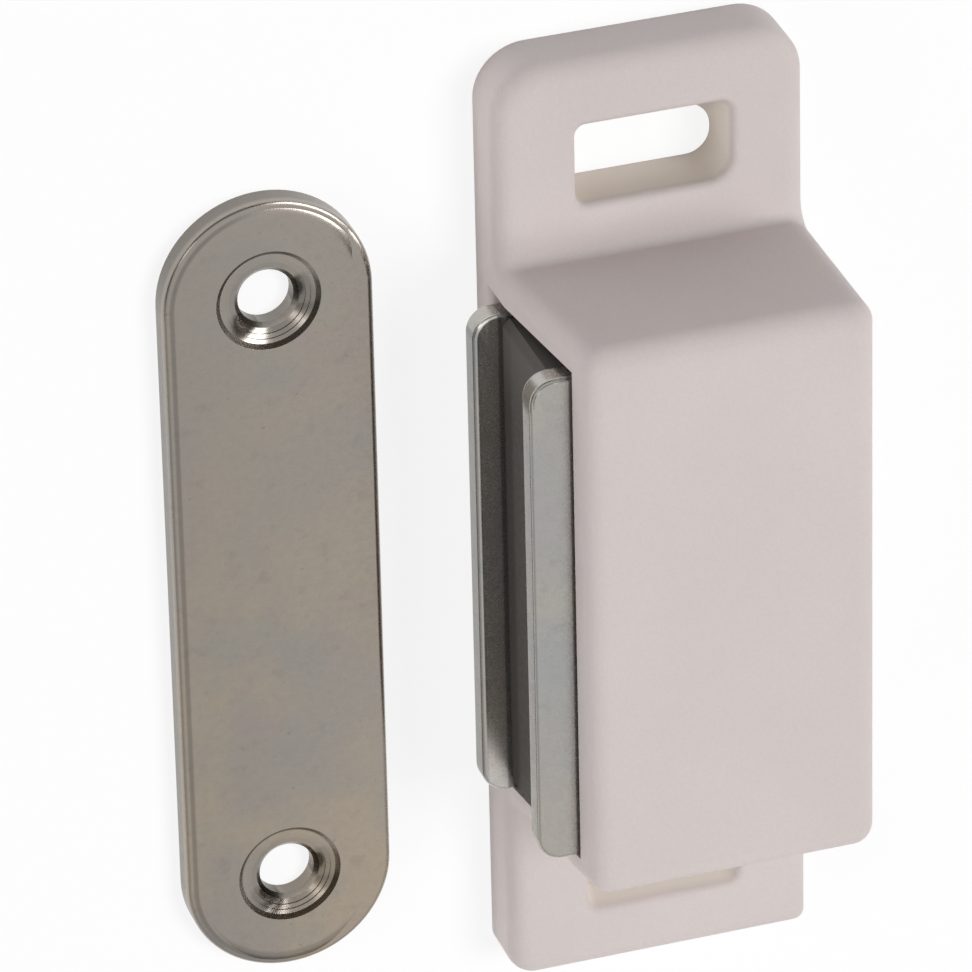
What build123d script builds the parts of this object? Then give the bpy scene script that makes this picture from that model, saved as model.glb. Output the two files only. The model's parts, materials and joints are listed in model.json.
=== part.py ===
"""Magnetic cabinet catch with its strike plate. Millimetres.

The catch lies on its back: the face that is screwed to the cabinet is on Z = 0, +Z points out
of the base, +Y runs along the catch, and the open mouth with the pole plates faces -X. The
origin is the centre of the base outline. The strike plate lies beside the mouth.
"""

import os
from math import radians, tan

from build123d import *

# ---- Magnet pack: a magnet between two pole plates, floating in the housing ------------------
plate_thick = 1.5
plate_corner_r = 1.4  # outer corners, seen from the front
plate_edge_r = 0.25
tongue_length = 30.4  # the part of a plate that sticks out of the mouth, along Y
front_reach = 1.25  # front plate, beyond the base's edge
rear_reach = 1.8  # rear plate, which lies a little further out
magnet_thick = 6.5
magnet_inset = 0.3  # each end of the magnet, in from the ends of the tongue
magnet_recess = 1.15  # magnet's side, behind the outer edge of the front plate
magnet_cover = 1.0  # plates' inner edge, beyond the magnet
magnet_chamfer = 0.4

# ---- Fits --------------------------------------------------------------------------------------
end_play = 0.25  # at each end of the pack, along Y
front_play = 0.3  # in front of the front plate
lug_play = 0.15  # behind the rear plate
pack_y = -0.2  # the pack rests towards this end of its play
float_gap = 0.6  # pack to the lips, and pack to the closed wall, along X

# ---- Housing: walls ----------------------------------------------------------------------------
front_wall = 2.0
end_wall = 1.15
closed_wall = 1.6
lip_height = 0.65  # step of each lip inside the end wall
lip_depth = 1.7  # along X, at the base
sill_height = 2.2  # low bar across the mouth, behind the rear plate
sill_edge_r = 0.5
back_recess = 3.2  # rear plate to the cabinet
mouth_lean = 7.2  # degrees; the mouth leans back above the base
lean_r = 4.0
edge_r = 1.3  # every outer edge that shows

# ---- Housing: base -----------------------------------------------------------------------------
base_width = 18.0
base_thick = 3.8
flange_length = 11.75
top_corner_r = 3.0
foot_corner_r = 1.6  # mouth side
foot_back_r = 0.6  # closed side
junction_r = 0.6  # hollow blend between flange and box

# ---- Housing: screw slot in each flange; its outer wall leans, so a screw goes in past the box --
slot_length = 9.0
slot_offset = 0.17  # towards the closed side
slot_inner_inset = 8.72  # upright inner wall, from the end of the base
slot_back_width = 3.1
slot_face_width = 5.0
slot_corner_r = 0.6
slot_round_r = 1.45  # towards the closed side
slot_edge_r = 0.5

# ---- Housing: snap lugs behind the rear plate --------------------------------------------------
lug_reach = 0.9
lug_length = 7.0
lug_nose = 0.4
lug_ramp = 1.4

# ---- Strike plate ------------------------------------------------------------------------------
strike_length = 48.8
strike_width = 12.0
strike_thick = 1.5
strike_edge_r = 0.35
strike_gap = 6.4  # beside the base
strike_shift = -1.8  # along Y
strike_hole_r = 1.6
sink_rim_r = 3.0  # shallow dish pressed in round each hole
sink_depth = 0.38
sink_rim_run = 0.25
sink_lead = 0.25  # chamfer from the dish into the hole
ring_radii = (2.2, 2.48)  # small steps in the dish
ring_step = 0.09

# ---- Derived: pack, seen along Z and along Y ----------------------------------------------------
side_x = base_width / 2
closed_x = side_x - closed_wall
lip_x = -side_x + lip_depth
front_edge_x = -side_x - front_reach
rear_edge_x = -side_x - rear_reach
plate_depth = closed_x - float_gap - front_edge_x
tongue_depth = lip_x + float_gap - rear_edge_x
tongue_end_y = tongue_length / 2
mouth_end_y = tongue_end_y + end_play
pocket_end_y = mouth_end_y + lip_height
shoulder_end_y = pocket_end_y - end_play

# ---- Derived: levels above the cabinet ----------------------------------------------------------
rear_plate_z = back_recess
magnet_z = rear_plate_z + plate_thick
front_plate_z = magnet_z + magnet_thick
pocket_top_z = front_plate_z + plate_thick + front_play
height = pocket_top_z + front_wall
lug_z = rear_plate_z - lug_play

# ---- Derived: outline of the housing ------------------------------------------------------------
box_end_y = pocket_end_y + end_wall
base_length = 2 * (box_end_y + flange_length)
slot_inner_y = base_length / 2 - slot_inner_inset
lean_z = base_thick + 1.5 * junction_r
mouth_top_x = -side_x + (height - lean_z) * tan(radians(mouth_lean))

TINY = 0.01  # for picking edges by position


def slot_outline(z, width, outer_corner_r):
    """The screw slot of the +Y flange, at one level."""
    with BuildSketch(Plane.XY.offset(z)) as outline:
        with Locations((slot_offset, slot_inner_y + width / 2)):
            Rectangle(slot_length, width)
        fillet(outline.vertices().group_by(Axis.X)[0], slot_corner_r)
        fillet(outline.vertices().group_by(Axis.X)[-1].sort_by(Axis.Y)[0], slot_round_r)
        fillet(outline.vertices().group_by(Axis.X)[-1].sort_by(Axis.Y)[-1], outer_corner_r)
    return outline.sketch


# ---- Housing ------------------------------------------------------------------------------------
with BuildPart() as housing:
    # Base, and the box across it with its mouth side leaning back
    with BuildSketch():
        Rectangle(base_width, base_length)
        fillet(vertices().group_by(Axis.Y)[-1], top_corner_r)
        fillet(vertices().group_by(Axis.Y)[0].sort_by(Axis.X)[0], foot_corner_r)
        fillet(vertices().group_by(Axis.Y)[0].sort_by(Axis.X)[-1], foot_back_r)
    extrude(amount=base_thick)
    with BuildSketch(Plane.XZ) as box_outline:
        with BuildLine():
            Polyline(
                (-side_x, 0),
                (side_x, 0),
                (side_x, height),
                (mouth_top_x, height),
                (-side_x, lean_z),
                close=True,
            )
        make_face()
        lean_start = box_outline.vertices().filter_by_position(Axis.Y, lean_z - TINY, lean_z + TINY)
        fillet(lean_start, lean_r)
    extrude(amount=box_end_y, both=True)

    # Hollow blend between flanges and box, then every outer edge in front of the base's sides
    between = edges().filter_by(Axis.X).filter_by_position(Axis.Y, -box_end_y - TINY, box_end_y + TINY)
    fillet(between.filter_by_position(Axis.Z, TINY, height - TINY), junction_r)
    raised = edges().filter_by(lambda edge: edge.bounding_box().min.Z > base_thick - TINY)
    under_top = raised.filter_by_position(Axis.Z, 0, height - TINY)
    lean_lines = under_top.filter_by(Axis.Y).filter_by_position(Axis.Z, base_thick + TINY, height)
    blend_reach = box_end_y + junction_r + TINY
    blend_lines = under_top.filter_by(Axis.X).filter_by_position(Axis.Y, -blend_reach, blend_reach)
    fillet(raised - lean_lines - blend_lines, edge_r)

    # Screw slots, with a soft rim in front
    slot = loft(
        (
            slot_outline(0, slot_back_width, slot_round_r),
            slot_outline(base_thick, slot_face_width, slot_corner_r),
        ),
        mode=Mode.PRIVATE,
    )
    add((slot, mirror(slot, about=Plane.XZ, mode=Mode.PRIVATE)), mode=Mode.SUBTRACT)
    slot_rims = edges(Select.LAST).group_by(Axis.Z)[-1]
    fillet(slot_rims, slot_edge_r)

    # Pocket for the pack, open at the back
    with BuildSketch():
        with Locations(((lip_x + closed_x) / 2, 0)):
            Rectangle(closed_x - lip_x, 2 * pocket_end_y)
    extrude(amount=pocket_top_z, mode=Mode.SUBTRACT)

    # Mouth between the lips, above a low sill with a soft edge
    with BuildSketch(Plane.XY.offset(sill_height)):
        with Locations((lip_x - side_x, 0)):
            Rectangle(2 * side_x, 2 * mouth_end_y)
    extrude(amount=pocket_top_z - sill_height, mode=Mode.SUBTRACT)
    sill_rims = edges().filter_by(Axis.Y).filter_by_position(Axis.Z, sill_height - TINY, sill_height + TINY)
    fillet(sill_rims.group_by(Axis.X)[0], sill_edge_r)

    # Snap lugs on both end walls and on the closed wall
    with BuildSketch(Plane.YZ):
        with BuildLine():
            Polyline(
                (pocket_end_y, lug_z),
                (pocket_end_y - lug_reach, lug_z),
                (pocket_end_y - lug_reach, lug_z - lug_nose),
                (pocket_end_y, lug_z - lug_nose - lug_ramp),
                close=True,
            )
        make_face()
        mirror(about=Plane.YZ)
    extrude(amount=lug_length / 2, both=True)
    with BuildSketch(Plane.XZ):
        with BuildLine():
            Polyline(
                (closed_x, lug_z),
                (closed_x - lug_reach, lug_z),
                (closed_x - lug_reach, lug_z - lug_nose),
                (closed_x, lug_z - lug_nose - lug_ramp),
                close=True,
            )
        make_face()
    extrude(amount=lug_length / 2, both=True)
housing.part.label = "housing"


# ---- Magnet -------------------------------------------------------------------------------------
magnet_x = front_edge_x + magnet_recess
magnet_inner_x = front_edge_x + plate_depth - magnet_cover
with BuildPart() as magnet:
    with BuildSketch(Plane.XY.offset(magnet_z)):
        with Locations(((magnet_x + magnet_inner_x) / 2, pack_y)):
            Rectangle(magnet_inner_x - magnet_x, tongue_length - 2 * magnet_inset)
    extrude(amount=magnet_thick)
    chamfer(edges().filter_by(Axis.Z), magnet_chamfer)
magnet.part.label = "magnet"


def pole_plate(outer_x, z):
    """A pole plate: a tongue with rounded corners in front of a body with two shoulders."""
    shoulder_x = outer_x + tongue_depth
    inner_x = outer_x + plate_depth
    with BuildPart() as plate:
        with BuildSketch(Plane.XY.offset(z)) as outline:
            with Locations(((outer_x + inner_x) / 2, pack_y)):
                Rectangle(plate_depth, tongue_length)
            with Locations(((shoulder_x + inner_x) / 2, pack_y)):
                Rectangle(plate_depth - tongue_depth, 2 * shoulder_end_y)
            fillet(outline.vertices().group_by(Axis.X)[0], plate_corner_r)
        extrude(amount=plate_thick)
        tongue_rims = plate.edges().filter_by_position(Axis.X, outer_x - TINY, outer_x + plate_corner_r)
        fillet(tongue_rims - tongue_rims.filter_by(Axis.Z), plate_edge_r)
    return plate.part


rear_pole_plate = pole_plate(rear_edge_x, rear_plate_z)
rear_pole_plate.label = "rear_pole_plate"
front_pole_plate = pole_plate(front_edge_x, front_plate_z)
front_pole_plate.label = "front_pole_plate"

# ---- Strike plate -------------------------------------------------------------------------------
strike_x = -side_x - strike_gap - strike_width / 2
hole_spacing = strike_length - strike_width  # the holes sit at the centres of the round ends
dish_z = strike_thick - sink_depth
with BuildPart() as strike_plate:
    with BuildSketch():
        with Locations((strike_x, strike_shift)):
            SlotOverall(strike_length, strike_width, rotation=90)
    extrude(amount=strike_thick)
    fillet(faces().sort_by(Axis.Z)[-1].edges(), strike_edge_r)
    # Screw holes: a straight hole, a short chamfer, and small steps up to the rim of the dish
    level = dish_z
    profile = [(0, 0), (strike_hole_r, 0), (strike_hole_r, dish_z - sink_lead)]
    profile += [(strike_hole_r + sink_lead, dish_z)]
    for ring_r in ring_radii:
        profile += [(ring_r, level), (ring_r, level + ring_step)]
        level += ring_step
    profile += [(sink_rim_r - sink_rim_run, level), (sink_rim_r, strike_thick), (0, strike_thick)]
    for hole_y in (strike_shift + hole_spacing / 2, strike_shift - hole_spacing / 2):
        with BuildSketch(Plane.XZ.offset(-hole_y)):
            with BuildLine():
                Polyline(*((strike_x + radius, z) for radius, z in profile), close=True)
            make_face()
        revolve(axis=Axis((strike_x, hole_y, 0), (0, 0, 1)), mode=Mode.SUBTRACT)
strike_plate.part.label = "strike_plate"

if __name__ == "__main__":
    os.makedirs("parts", exist_ok=True)
    for piece in (housing.part, magnet.part, rear_pole_plate, front_pole_plate, strike_plate.part):
        export_step(piece, f"parts/{piece.label}.step")
    print("housing", base_length, base_width, height, "strike holes", hole_spacing)
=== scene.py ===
"""Finishes and stage for a magnetic cabinet catch and its strike plate."""

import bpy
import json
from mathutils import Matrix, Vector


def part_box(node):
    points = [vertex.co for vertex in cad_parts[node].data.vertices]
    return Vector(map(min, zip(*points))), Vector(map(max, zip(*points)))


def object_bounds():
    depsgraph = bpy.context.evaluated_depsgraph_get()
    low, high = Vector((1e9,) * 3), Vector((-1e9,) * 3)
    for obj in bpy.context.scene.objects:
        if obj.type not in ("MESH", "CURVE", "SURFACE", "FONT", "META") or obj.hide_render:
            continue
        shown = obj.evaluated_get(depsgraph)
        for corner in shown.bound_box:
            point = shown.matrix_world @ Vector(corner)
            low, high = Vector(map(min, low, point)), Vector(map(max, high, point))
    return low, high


bl_info = {
    "name": "Magnetic Cabinet Catch",
    "version": (1, 0, 0),
    "blender": (4, 5, 0),
    "location": "View3D > Sidebar > Catch",
    "description": "Finishes a magnetic cabinet catch with its strike plate and sets a studio stage",
    "category": "Object",
}

import json
from math import cos, radians, sin

import bmesh
import bpy
from bpy.props import FloatProperty, FloatVectorProperty, PointerProperty
from mathutils import Matrix, Vector

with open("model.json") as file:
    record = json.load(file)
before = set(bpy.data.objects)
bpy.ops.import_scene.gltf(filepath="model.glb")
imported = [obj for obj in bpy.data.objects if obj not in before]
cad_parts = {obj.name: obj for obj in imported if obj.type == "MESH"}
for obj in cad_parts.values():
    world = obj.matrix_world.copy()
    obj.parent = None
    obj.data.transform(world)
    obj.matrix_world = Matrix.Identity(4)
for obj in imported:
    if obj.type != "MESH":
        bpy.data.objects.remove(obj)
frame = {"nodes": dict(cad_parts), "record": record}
CAD_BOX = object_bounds()

MM = 0.001
AIM = Vector((-7.90, 0.07, -2.60)) * MM  # the point that the camera looks at
WHITE = (1.0, 1.0, 1.0, 1.0)
FLOOR_PALE = (0.95, 0.95, 0.95, 1.0)  # the floor as it lights matte surfaces
FLOOR_GLOW = 0.85  # share of plain white in the floor as the camera sees it
FLOOR_DROP = 0.02 * MM  # below the part
FLOOR_HALF = 1.5  # metres
STRIKE_LOW, STRIKE_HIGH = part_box("strike_plate")
MOUNTS = {mount["name"]: mount for mount in frame["record"]["mounts"]}


# ---- Shader maths ---------------------------------------------------------------------------


class Value:
    """A number that varies over a surface. Arithmetic on it adds Math nodes."""

    def __init__(self, graph, socket):
        self.graph = graph
        self.socket = socket

    def math(self, operation, *values):
        return self.graph.node("ShaderNodeMath", {"operation": operation}, dict(enumerate(values)))

    def __add__(self, other):
        return self.math("ADD", self, other)

    def __radd__(self, other):
        return self.math("ADD", other, self)

    def __sub__(self, other):
        return self.math("SUBTRACT", self, other)

    def __rsub__(self, other):
        return self.math("SUBTRACT", other, self)

    def __mul__(self, other):
        return self.math("MULTIPLY", self, other)

    def __rmul__(self, other):
        return self.math("MULTIPLY", other, self)

    def __truediv__(self, other):
        return self.math("DIVIDE", self, other)

    def __abs__(self):
        return self.math("ABSOLUTE", self)

    def least(self, other):
        return self.math("MINIMUM", self, other)

    def most(self, other):
        return self.math("MAXIMUM", self, other)

    def root(self):
        return self.math("SQRT", self)

    def hypot(self, other):
        return (self * self + other * other).root()

    def above(self, low, high):
        """0 below low and 1 above high, smooth between; the other way round where high < low."""
        inputs = {"Value": self, "From Min": low, "From Max": high}
        return self.graph.node("ShaderNodeMapRange", {"interpolation_type": "SMOOTHSTEP"}, inputs)

    def within(self, centre, half, soft):
        """1 up to half from centre, falling smoothly to 0 over the length soft."""
        return abs(self - centre).above(half + soft, half)


class Graph:
    """The nodes of one material, or of the sky."""

    def __init__(self, name, owners=None):
        self.owner = (bpy.data.materials if owners is None else owners).new(name)
        self.owner.use_nodes = True
        self.tree = self.owner.node_tree
        self.tree.nodes.clear()

    def node(self, kind, settings=(), inputs=(), output=0):
        """Adds a node, sets its settings, then fills its sockets with values or links."""
        new = self.tree.nodes.new(kind)
        for name, setting in dict(settings).items():
            setattr(new, name, setting)
        for name, value in dict(inputs).items():
            socket = new.inputs[name]
            if isinstance(value, Value):
                self.tree.links.new(value.socket, socket)
            else:
                socket.default_value = value
        return None if output is None else Value(self, new.outputs[output])

    def place(self, stretch=(1, 1, 1)):
        """The place on the object, in metres, scaled along each axis."""
        where = self.node("ShaderNodeTexCoord", output="Object")
        return self.node("ShaderNodeMapping", {}, {"Vector": where, "Scale": stretch})

    def axes(self, kind="Object"):
        """X, Y and Z on the object, in metres, or of the direction in the sky, as three values."""
        where = self.node("ShaderNodeTexCoord", output=kind)
        split = self.node("ShaderNodeSeparateXYZ", {}, {"Vector": where})
        sockets = split.socket.node.outputs
        return [Value(self, socket) for socket in sockets]

    def noise(self, size, stretch=(1, 1, 1), detail=2.0, roughness=0.5):
        """Soft noise from 0 to 1 with grains of about the given size in metres."""
        inputs = {"Vector": self.place(stretch), "Scale": 1 / size, "Detail": detail, "Roughness": roughness}
        return self.node("ShaderNodeTexNoise", {}, inputs)

    def mix(self, factor, first, second):
        """Mixes two colours."""
        inputs = {0: factor, 6: first, 7: second}
        return self.node("ShaderNodeMix", {"data_type": "RGBA"}, inputs, output=2)

    def bump(self, height, depth, over=None):
        """A normal that follows a height from 0 to 1, depth metres deep, over another bump."""
        inputs = {"Height": height, "Distance": depth, "Strength": 1.0}
        if over is not None:
            inputs["Normal"] = over
        return self.node("ShaderNodeBump", {}, inputs)

    def rolled_rim(self, from_edge, radius, steepest):
        """A rounded rim of the given radius, from the distance inside the outline.

        Steepest is the sine of the steepest slope.
        """
        slope = ((radius - from_edge) / radius).most(0).least(steepest)
        return self.bump((1 - slope * slope).root(), radius)

    def finish(self, kind, inputs, out="ShaderNodeOutputMaterial"):
        """Ends the tree in one shader and gives the material or sky."""
        self.node(out, {}, {"Surface": self.node(kind, {}, inputs)}, output=None)
        return self.owner


def rgba(colour, gain=1.0):
    """A colour property as a shader colour, brightened by gain."""
    return (*(min(part * gain, 1.0) for part in colour), 1.0)


def dress(node, material):
    """Gives a CAD node one material."""
    for slot in frame["nodes"][node].material_slots:
        slot.material = material


# ---- Settings ---------------------------------------------------------------------------------


class CatchPlasticSettings(bpy.types.PropertyGroup):
    colour: FloatVectorProperty(
        name="Plastic",
        description="Colour of the moulded housing",
        subtype="COLOR",
        default=(0.68, 0.61, 0.595),
    )
    # Painted light: a lighter, warmer colour for the walls of the screw slots
    slots: FloatVectorProperty(
        name="Slots",
        description="Lit walls of the screw slots",
        subtype="COLOR",
        default=(0.78, 0.715, 0.655),
    )
    grain: FloatProperty(
        name="Grain", description="Size of the matte mould grain", unit="LENGTH", default=0.16 * MM
    )


class CatchSteelSettings(bpy.types.PropertyGroup):
    strike: FloatVectorProperty(
        name="Strike",
        description="Zinc plate on the strike plate",
        subtype="COLOR",
        default=(0.39, 0.357, 0.318),
    )
    poles: FloatVectorProperty(
        name="Poles",
        description="Zinc plate on the pole plates",
        subtype="COLOR",
        default=(0.472, 0.464, 0.45),
    )
    tongue: FloatProperty(
        name="Tongue", description="Length of a pole plate along Y", unit="LENGTH", default=30.4 * MM
    )
    pack_y: FloatProperty(
        name="Pack Y", description="Middle of the pole plates along Y", unit="LENGTH", default=-0.2 * MM
    )
    pole_corner: FloatProperty(
        name="Pole corner", description="Corner radius of a pole plate", unit="LENGTH", default=1.4 * MM
    )
    pole_rim: FloatProperty(
        name="Pole rim", description="Radius of the pole plates' rolled rim", unit="LENGTH", default=0.45 * MM
    )
    ferrite: FloatVectorProperty(
        name="Ferrite",
        description="Colour of the magnet",
        subtype="COLOR",
        default=(0.08, 0.072, 0.066),
    )
    rim: FloatProperty(
        name="Rim", description="Radius of the strike plate's rolled rim", unit="LENGTH", default=1.0 * MM
    )
    sink: FloatProperty(
        name="Countersink", description="Radius of each countersink", unit="LENGTH", default=3.0 * MM
    )
    sink_slope: FloatProperty(name="Sink slope", description="Slope of each countersink's cone", default=0.88)


class CatchStageSettings(bpy.types.PropertyGroup):
    swing: FloatProperty(
        name="Swing",
        description="Camera's angle towards the mouth side",
        subtype="ANGLE",
        default=radians(17.96),
    )
    rise: FloatProperty(
        name="Rise",
        description="Camera's angle towards the +Y end",
        subtype="ANGLE",
        default=radians(29.70),
    )
    roll: FloatProperty(
        name="Roll", description="Turn about the line of sight", subtype="ANGLE", default=radians(-1.37)
    )
    distance: FloatProperty(
        name="Distance", description="Camera to the point it looks at", unit="LENGTH", default=0.5153
    )
    lens: FloatProperty(name="Lens", description="Focal length in millimetres", default=340.2)
    sky: FloatProperty(name="Sky", description="Strength of the even light all round", default=0.20)
    room_low: FloatProperty(name="Room low", description="What steel reflects near the floor", default=0.13)
    room_high: FloatProperty(name="Room high", description="What steel reflects overhead", default=0.8)


# ---- Housing ------------------------------------------------------------------------------------


class CATCH_OT_housing(bpy.types.Operator):
    """Finish the housing in matte moulded plastic"""

    bl_idname = "catch.housing"
    bl_label = "Housing"

    def execute(self, context):
        settings = context.scene.catch_plastic
        graph = Graph("moulded_plastic")
        x, y, z = graph.axes()
        cloud = graph.noise(9 * MM, detail=3.0)
        grain = graph.noise(settings.grain, detail=2.0)
        fine = graph.noise(settings.grain * 2.6, detail=4.0, roughness=0.65)

        # Slight unevenness, then the grain's own light and dark
        colour = graph.mix(cloud.above(0.35, 0.7), rgba(settings.colour, 0.985), rgba(settings.colour, 1.015))
        colour = graph.mix(grain.above(0.3, 0.7) * 0.1, colour, rgba(settings.colour, 0.7))

        # Painted light: the walls of the screw slots are painted lighter and warmer, as if light came through
        # the plastic, from the back up to their soft rims
        slot_y = 22.8 * MM
        half_length = 4.9 * MM
        half_width = 2.8 * MM
        blur = 0.2 * MM
        inside = x.within(0, half_length, blur) * abs(y).within(slot_y, half_width, blur)
        inside = inside * z.above(0.02 * MM, 0.1 * MM) * z.above(3.7 * MM, 2.9 * MM)
        colour = graph.mix(inside, colour, rgba(settings.slots))
        material = graph.finish(
            "ShaderNodeBsdfPrincipled",
            {
                "Base Color": colour,
                "Roughness": 0.6 + 0.1 * fine,
                "IOR": 1.46,
                "Specular IOR Level": 0.35,
                "Normal": graph.bump(grain * 0.5 + fine * 0.5, 0.025 * MM),
            },
        )
        dress("housing", material)
        return {"FINISHED"}


# ---- Steel and magnet ---------------------------------------------------------------------------


def tinted(colour, red, green, blue):
    """A colour property with each part brightened by its own gain."""
    return (colour[0] * red, colour[1] * green, colour[2] * blue, 1.0)


def plated_steel(graph, colour, tone=1.0, over=None, cream=0.5):
    """Ends a tree in zinc-plated steel: mottled, with faint tints and fine scratches.

    The tone is brightness over the surface, with painted light and shade in it; over is a normal for the fine
    relief to lie on, and cream is how much of the plate has warmed.
    """
    warm = graph.noise(7 * MM, detail=3.0).above(0.38, 0.62)
    cool = graph.noise(5.1 * MM, detail=3.0).above(0.52, 0.7)
    pink = graph.noise(3.7 * MM, detail=3.0).above(0.5, 0.7)
    blotch = graph.noise(1.3 * MM, detail=4.0, roughness=0.65).above(0.56, 0.72)
    speck = graph.noise(0.45 * MM, detail=2.0).above(0.7, 0.78)
    mottle = graph.noise(0.5 * MM, detail=4.0, roughness=0.7)
    grit = graph.noise(0.13 * MM, detail=2.0)
    scratch = graph.noise(0.09 * MM, stretch=(1, 0.04, 1), detail=1.0)
    shade = graph.mix(warm * cream, rgba(colour), tinted(colour, 1.22, 1.12, 0.97))
    shade = graph.mix(cool * 0.5, shade, tinted(colour, 0.92, 0.98, 1.0))
    shade = graph.mix(pink * 0.4, shade, tinted(colour, 1.04, 0.95, 0.99))
    shade = graph.mix(blotch * 0.2, shade, rgba(colour, 0.6))
    shade = graph.mix(speck * 0.3, shade, rgba(colour, 0.5))
    shade = graph.mix(mottle.above(0.35, 0.75) * 0.2, shade, rgba(colour, 0.8))
    shade = graph.mix(grit.above(0.3, 0.7) * 0.05, shade, rgba(colour, 0.7))
    gain = graph.node("ShaderNodeVectorMath", {"operation": "SCALE"}, {0: shade, "Scale": tone})
    return graph.finish(
        "ShaderNodeBsdfPrincipled",
        {
            "Base Color": gain,
            "Metallic": 1.0,
            "Roughness": 0.2 + 0.14 * mottle,
            "Normal": graph.bump(scratch * 0.3 + mottle * 0.7, 0.004 * MM, over),
        },
    )


class CATCH_OT_strike(bpy.types.Operator):
    """Finish the strike plate in dull zinc plate"""

    bl_idname = "catch.strike"
    bl_label = "Strike plate"

    def execute(self, context):
        settings = context.scene.catch_steel
        graph = Graph("strike_zinc")
        x, y, z = graph.axes()
        middle_x = (STRIKE_LOW[0] + STRIKE_HIGH[0]) / 2
        middle_y = (STRIKE_LOW[1] + STRIKE_HIGH[1]) / 2
        half_width = (STRIKE_HIGH[0] - STRIKE_LOW[0]) / 2
        half_spacing = MOUNTS["strike_screws"]["dims"]["spacing_y_mm"] * MM / 2
        across = x - middle_x
        along = y - middle_y

        # Rolled rim of the stamping: none on the side towards the catch, shallow on the other side
        from_edge = half_width - across.hypot((abs(along) - half_spacing).most(0))
        catch_side = across.above(0.2 * half_width, 0.8 * half_width)
        below_top_end = along.above(half_spacing + 3.5 * MM, half_spacing + 1.0 * MM)
        far_side = across.above(-0.3 * half_width, -0.8 * half_width)
        rolled = (1 - catch_side * below_top_end) * (1 - 0.6 * far_side)
        rim = graph.rolled_rim(from_edge, settings.rim, 0.62 * rolled)

        # Painted dark reflection: a dark line where the rim starts, on the side away from the catch
        painted_dark_line = from_edge.within(0.48 * MM, 0.06 * MM, 0.14 * MM)
        painted_dark_line = painted_dark_line * across.above(0.1 * half_width, -0.5 * half_width)

        # Cone of each countersink on the sides away from the +Y end
        beside = along - half_spacing * along.math("SIGN", along)
        radius = across.hypot(beside)
        cone = (radius / settings.sink).least(1)
        facing = ((0.5 * across - beside) / radius.most(0.1 * MM)).above(-0.2, 1.0)
        cone = graph.bump(1 - (1 - cone) * facing, settings.sink * settings.sink_slope, rim)

        # Painted shade: the cut edge all round is painted darker. The face is a little brighter towards the
        # catch side, and warmer towards the -Y end
        face = z.above(0.8 * MM, 1.3 * MM)
        tone = (1.0 + 0.06 * (across / half_width)) * (0.62 + 0.38 * face)
        tone = tone * (1 - 0.3 * painted_dark_line)
        cream = 0.5 - 0.35 * (along / half_spacing)
        dress("strike_plate", plated_steel(graph, settings.strike, tone, cone, cream))
        return {"FINISHED"}


class CATCH_OT_magnet_pack(bpy.types.Operator):
    """Finish the pole plates in bluish zinc plate and the magnet in bare ferrite"""

    bl_idname = "catch.magnet_pack"
    bl_label = "Magnet pack"

    def execute(self, context):
        settings = context.scene.catch_steel
        for node in ("rear_pole_plate", "front_pole_plate"):
            dress(node, self.pole(node, settings))

        graph = Graph("ferrite")
        x, y, z = graph.axes()
        lumps = graph.noise(0.35 * MM, detail=5.0, roughness=0.7)
        # Painted shade: the magnet is painted darker next to the rear plate
        shade_by_rear_plate = z.above(6.4 * MM, 5.6 * MM)
        # Painted highlight: the magnet's +Y end is painted lighter
        painted_highlight_end = y.above(9 * MM, 14 * MM)
        colour = graph.mix(lumps.above(0.3, 0.7), rgba(settings.ferrite, 0.75), rgba(settings.ferrite, 1.3))
        colour = graph.mix(shade_by_rear_plate * 0.6, colour, rgba(settings.ferrite, 0.3))
        colour = graph.mix(painted_highlight_end * 0.6, colour, rgba(settings.ferrite, 1.6))
        ferrite = graph.finish(
            "ShaderNodeBsdfPrincipled",
            {
                "Base Color": colour,
                "Roughness": 0.6 + 0.2 * lumps,
                "Specular IOR Level": 0.3,
                "Normal": graph.bump(lumps, 0.02 * MM),
            },
        )
        dress("magnet", ferrite)
        return {"FINISHED"}

    def pole(self, node, settings):
        """Bluish zinc plate, with a rolled rim on the front plate."""
        low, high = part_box(node)
        graph = Graph(node)
        x, y, z = graph.axes()
        # Painted shade: the cut end towards the mouth is painted darker through the tone
        face = x.above(low[0] + 0.02 * MM, low[0] + 0.12 * MM)
        if node == "front_pole_plate":
            across = (low[0] + settings.pole_corner - x).most(0)
            along = (abs(y - settings.pack_y) - (settings.tongue / 2 - settings.pole_corner)).most(0)
            from_edge = settings.pole_corner - across.hypot(along)
            top_end = y.above(12.5 * MM, 14.0 * MM)
            rim = graph.rolled_rim(from_edge, settings.pole_rim, 0.85 * top_end)
            return plated_steel(graph, settings.poles, 0.85 + 0.15 * face, rim)

        # The rear plate's face towards the magnet is seen: it is painted lighter as a painted reflection,
        # with painted shade along the magnet and painted glints at its +Y end; its cut end is painted darker
        streak = graph.noise(1.1 * MM, stretch=(1, 0.3, 1), detail=3.0)
        inner = z.within(high[2], 0.1 * MM, 0.1 * MM) * x.above(low[0] + 0.2 * MM, low[0] + 0.4 * MM)
        shadow = x.above(low[0] + 1.35 * MM, low[0] + 1.5 * MM)
        painted_glints = streak.above(0.45, 0.62) * y.above(8 * MM, 14.5 * MM)
        gain = 0.55 + 0.45 * face + inner * (0.35 + painted_glints * 1.0 - shadow * 0.7)
        return plated_steel(graph, settings.poles, gain)


# ---- Stage --------------------------------------------------------------------------------------


def add_lamp(name, place, size, power):
    """A soft rectangular lamp that faces the origin, with its size in metres and power in watts."""
    lamp = bpy.data.lights.new(name, "AREA")
    lamp.shape = "RECTANGLE"
    lamp.size, lamp.size_y = size
    lamp.energy = power
    holder = bpy.data.objects.new(name, lamp)
    bpy.context.scene.collection.objects.link(holder)
    holder.location = place
    holder.rotation_euler = (-Vector(place)).to_track_quat("-Z", "Y").to_euler()
    return holder


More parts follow.
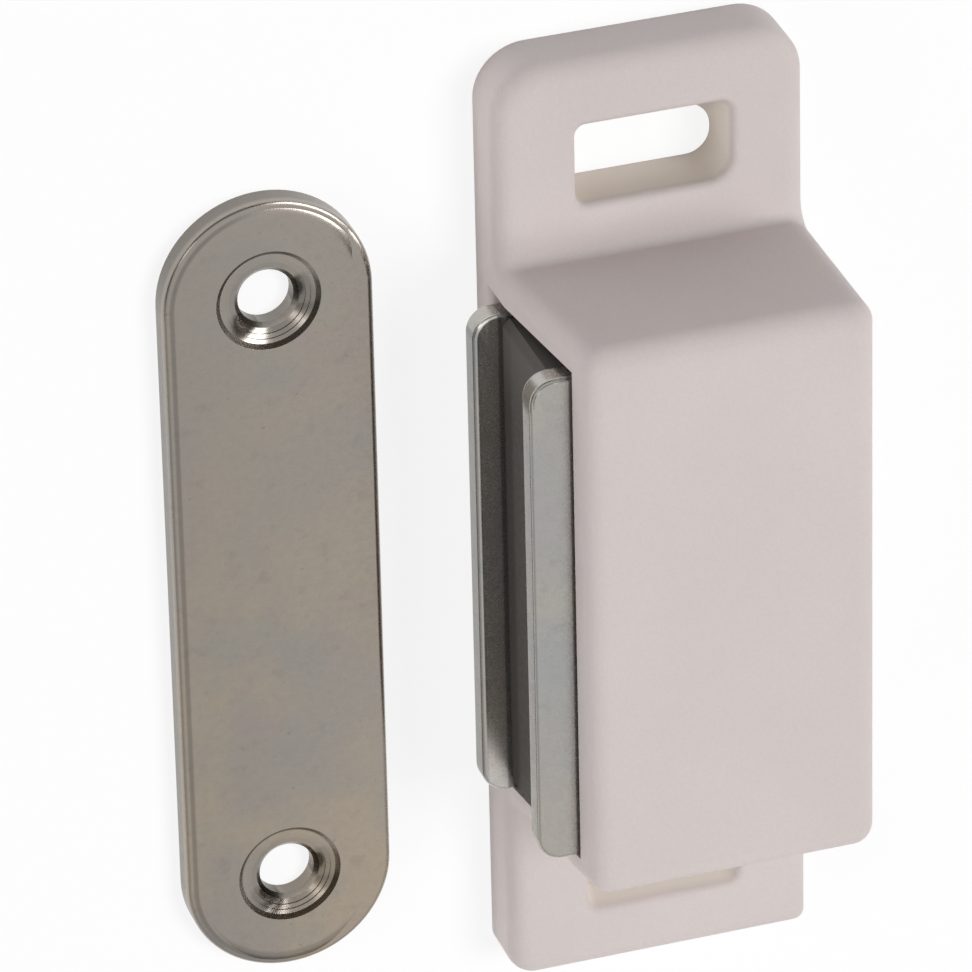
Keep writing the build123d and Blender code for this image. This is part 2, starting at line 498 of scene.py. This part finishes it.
class CATCH_OT_stage(bpy.types.Operator):
    """Set the floor, the lamps, the sky and the camera"""

    bl_idname = "catch.stage"
    bl_label = "Stage"

    def execute(self, context):
        settings = context.scene.catch_stage
        self.floor()
        self.sky(context, settings)
        self.lamps()
        self.camera(context, settings)
        context.scene.view_settings.view_transform = "Standard"
        return {"FINISHED"}

    def floor(self):
        """A pale floor, near white for the camera, that keeps the part's shadow."""
        shape = bmesh.new()
        bmesh.ops.create_grid(shape, x_segments=1, y_segments=1, size=FLOOR_HALF)
        mesh = bpy.data.meshes.new("floor")
        shape.to_mesh(mesh)
        shape.free()
        floor = bpy.data.objects.new("floor", mesh)
        bpy.context.scene.collection.objects.link(floor)
        floor.location.z = CAD_BOX[0][2] - FLOOR_DROP
        graph = Graph("floor")
        seen = graph.node("ShaderNodeLightPath", output="Is Camera Ray")
        seen = seen.most(graph.node("ShaderNodeLightPath", output="Is Glossy Ray"))
        pale = graph.mix(seen, FLOOR_PALE, WHITE)
        matte = graph.node("ShaderNodeBsdfDiffuse", {}, {"Color": pale})
        glow = graph.node("ShaderNodeEmission", {}, {"Color": WHITE, "Strength": 1.0})
        inputs = {0: seen * FLOOR_GLOW, 1: matte, 2: glow}
        mesh.materials.append(graph.finish("ShaderNodeMixShader", inputs))

    def sky(self, context, settings):
        """Even light for matte surfaces, plain white for the camera, a room for polished ones."""
        graph = Graph("sky", bpy.data.worlds)
        x, y, z = graph.axes("Generated")
        overhead = z.above(0.35, 0.75)
        foot_side = y.above(-0.2, -0.45)
        lit = overhead.most(0.65 * foot_side)
        room = settings.room_low + (settings.room_high - settings.room_low) * lit
        polished = graph.node("ShaderNodeLightPath", output="Is Glossy Ray")
        seen = graph.node("ShaderNodeLightPath", output="Is Camera Ray")
        strength = polished * room + seen + (1 - polished.most(seen)) * settings.sky
        inputs = {"Color": WHITE, "Strength": strength}
        context.scene.world = graph.finish("ShaderNodeBackground", inputs, "ShaderNodeOutputWorld")

    def lamps(self):
        """Broad lamps light matte surfaces, and polished ones mirror only the rim lamps."""
        broad = (0.3, 0.3)
        for lamp in (
            add_lamp("key", place=(0.281, 0.04, 0.53), size=broad, power=2.55),
            add_lamp("fill_mouth", place=(-0.43, 0.0, 0.135), size=broad, power=0.8),
            add_lamp("fill_foot", place=(0.0, -0.43, 0.135), size=broad, power=0.37),
        ):
            lamp.visible_glossy = False
        for lamp in (
            add_lamp("rim_right", place=(0.345, 0.272, 0.23), size=(0.5, 0.2), power=1.7),
            add_lamp("rim_left", place=(-0.38, 0.21, 0.27), size=(0.15, 0.15), power=0.13),
        ):
            lamp.visible_diffuse = False

    def camera(self, context, settings):
        """A long lens, nearly square to the front of the catch."""
        up, rise, swing = Vector((0, 1, 0)), settings.rise, settings.swing
        back = Vector((-sin(swing) * cos(rise), sin(rise), cos(swing) * cos(rise)))
        right = up.cross(back).normalized()
        axes = Matrix((right, back.cross(right), back)).transposed()
        turn = axes @ Matrix.Rotation(settings.roll, 3, "Z")
        lens = bpy.data.cameras.new("camera")
        lens.lens = settings.lens
        lens.clip_start = 0.01
        camera = bpy.data.objects.new("camera", lens)
        context.scene.collection.objects.link(camera)
        camera.matrix_world = Matrix.Translation(AIM + settings.distance * back) @ turn.to_4x4()
        context.scene.camera = camera


# ---- Panel and registration -----------------------------------------------------------------------


class CATCH_PT_panel(bpy.types.Panel):
    """Steps and settings of the catch"""

    bl_idname = "CATCH_PT_panel"
    bl_label = "Magnetic Catch"
    bl_space_type = "VIEW_3D"
    bl_region_type = "UI"
    bl_category = "Catch"

    def draw(self, context):
        for name, group in SETTINGS.items():
            box = self.layout.box()
            for prop in group.__annotations__:
                box.prop(getattr(context.scene, name), prop)
        for step in STEPS:
            self.layout.operator(step.bl_idname)


SETTINGS = {
    "catch_plastic": CatchPlasticSettings,
    "catch_steel": CatchSteelSettings,
    "catch_stage": CatchStageSettings,
}
STEPS = (CATCH_OT_housing, CATCH_OT_strike, CATCH_OT_magnet_pack, CATCH_OT_stage)


def register():
    for group in SETTINGS.values():
        bpy.utils.register_class(group)
    for step in STEPS:
        bpy.utils.register_class(step)
    bpy.utils.register_class(CATCH_PT_panel)
    for name, group in SETTINGS.items():
        setattr(bpy.types.Scene, name, PointerProperty(type=group))


def unregister():
    for name in SETTINGS:
        delattr(bpy.types.Scene, name)
    bpy.utils.unregister_class(CATCH_PT_panel)
    for step in reversed(STEPS):
        bpy.utils.unregister_class(step)
    for group in SETTINGS.values():
        bpy.utils.unregister_class(group)


def main():
    register()
    bpy.ops.catch.housing()
    bpy.ops.catch.strike()
    bpy.ops.catch.magnet_pack()
    bpy.ops.catch.stage()


if __name__ == "__main__":
    main()
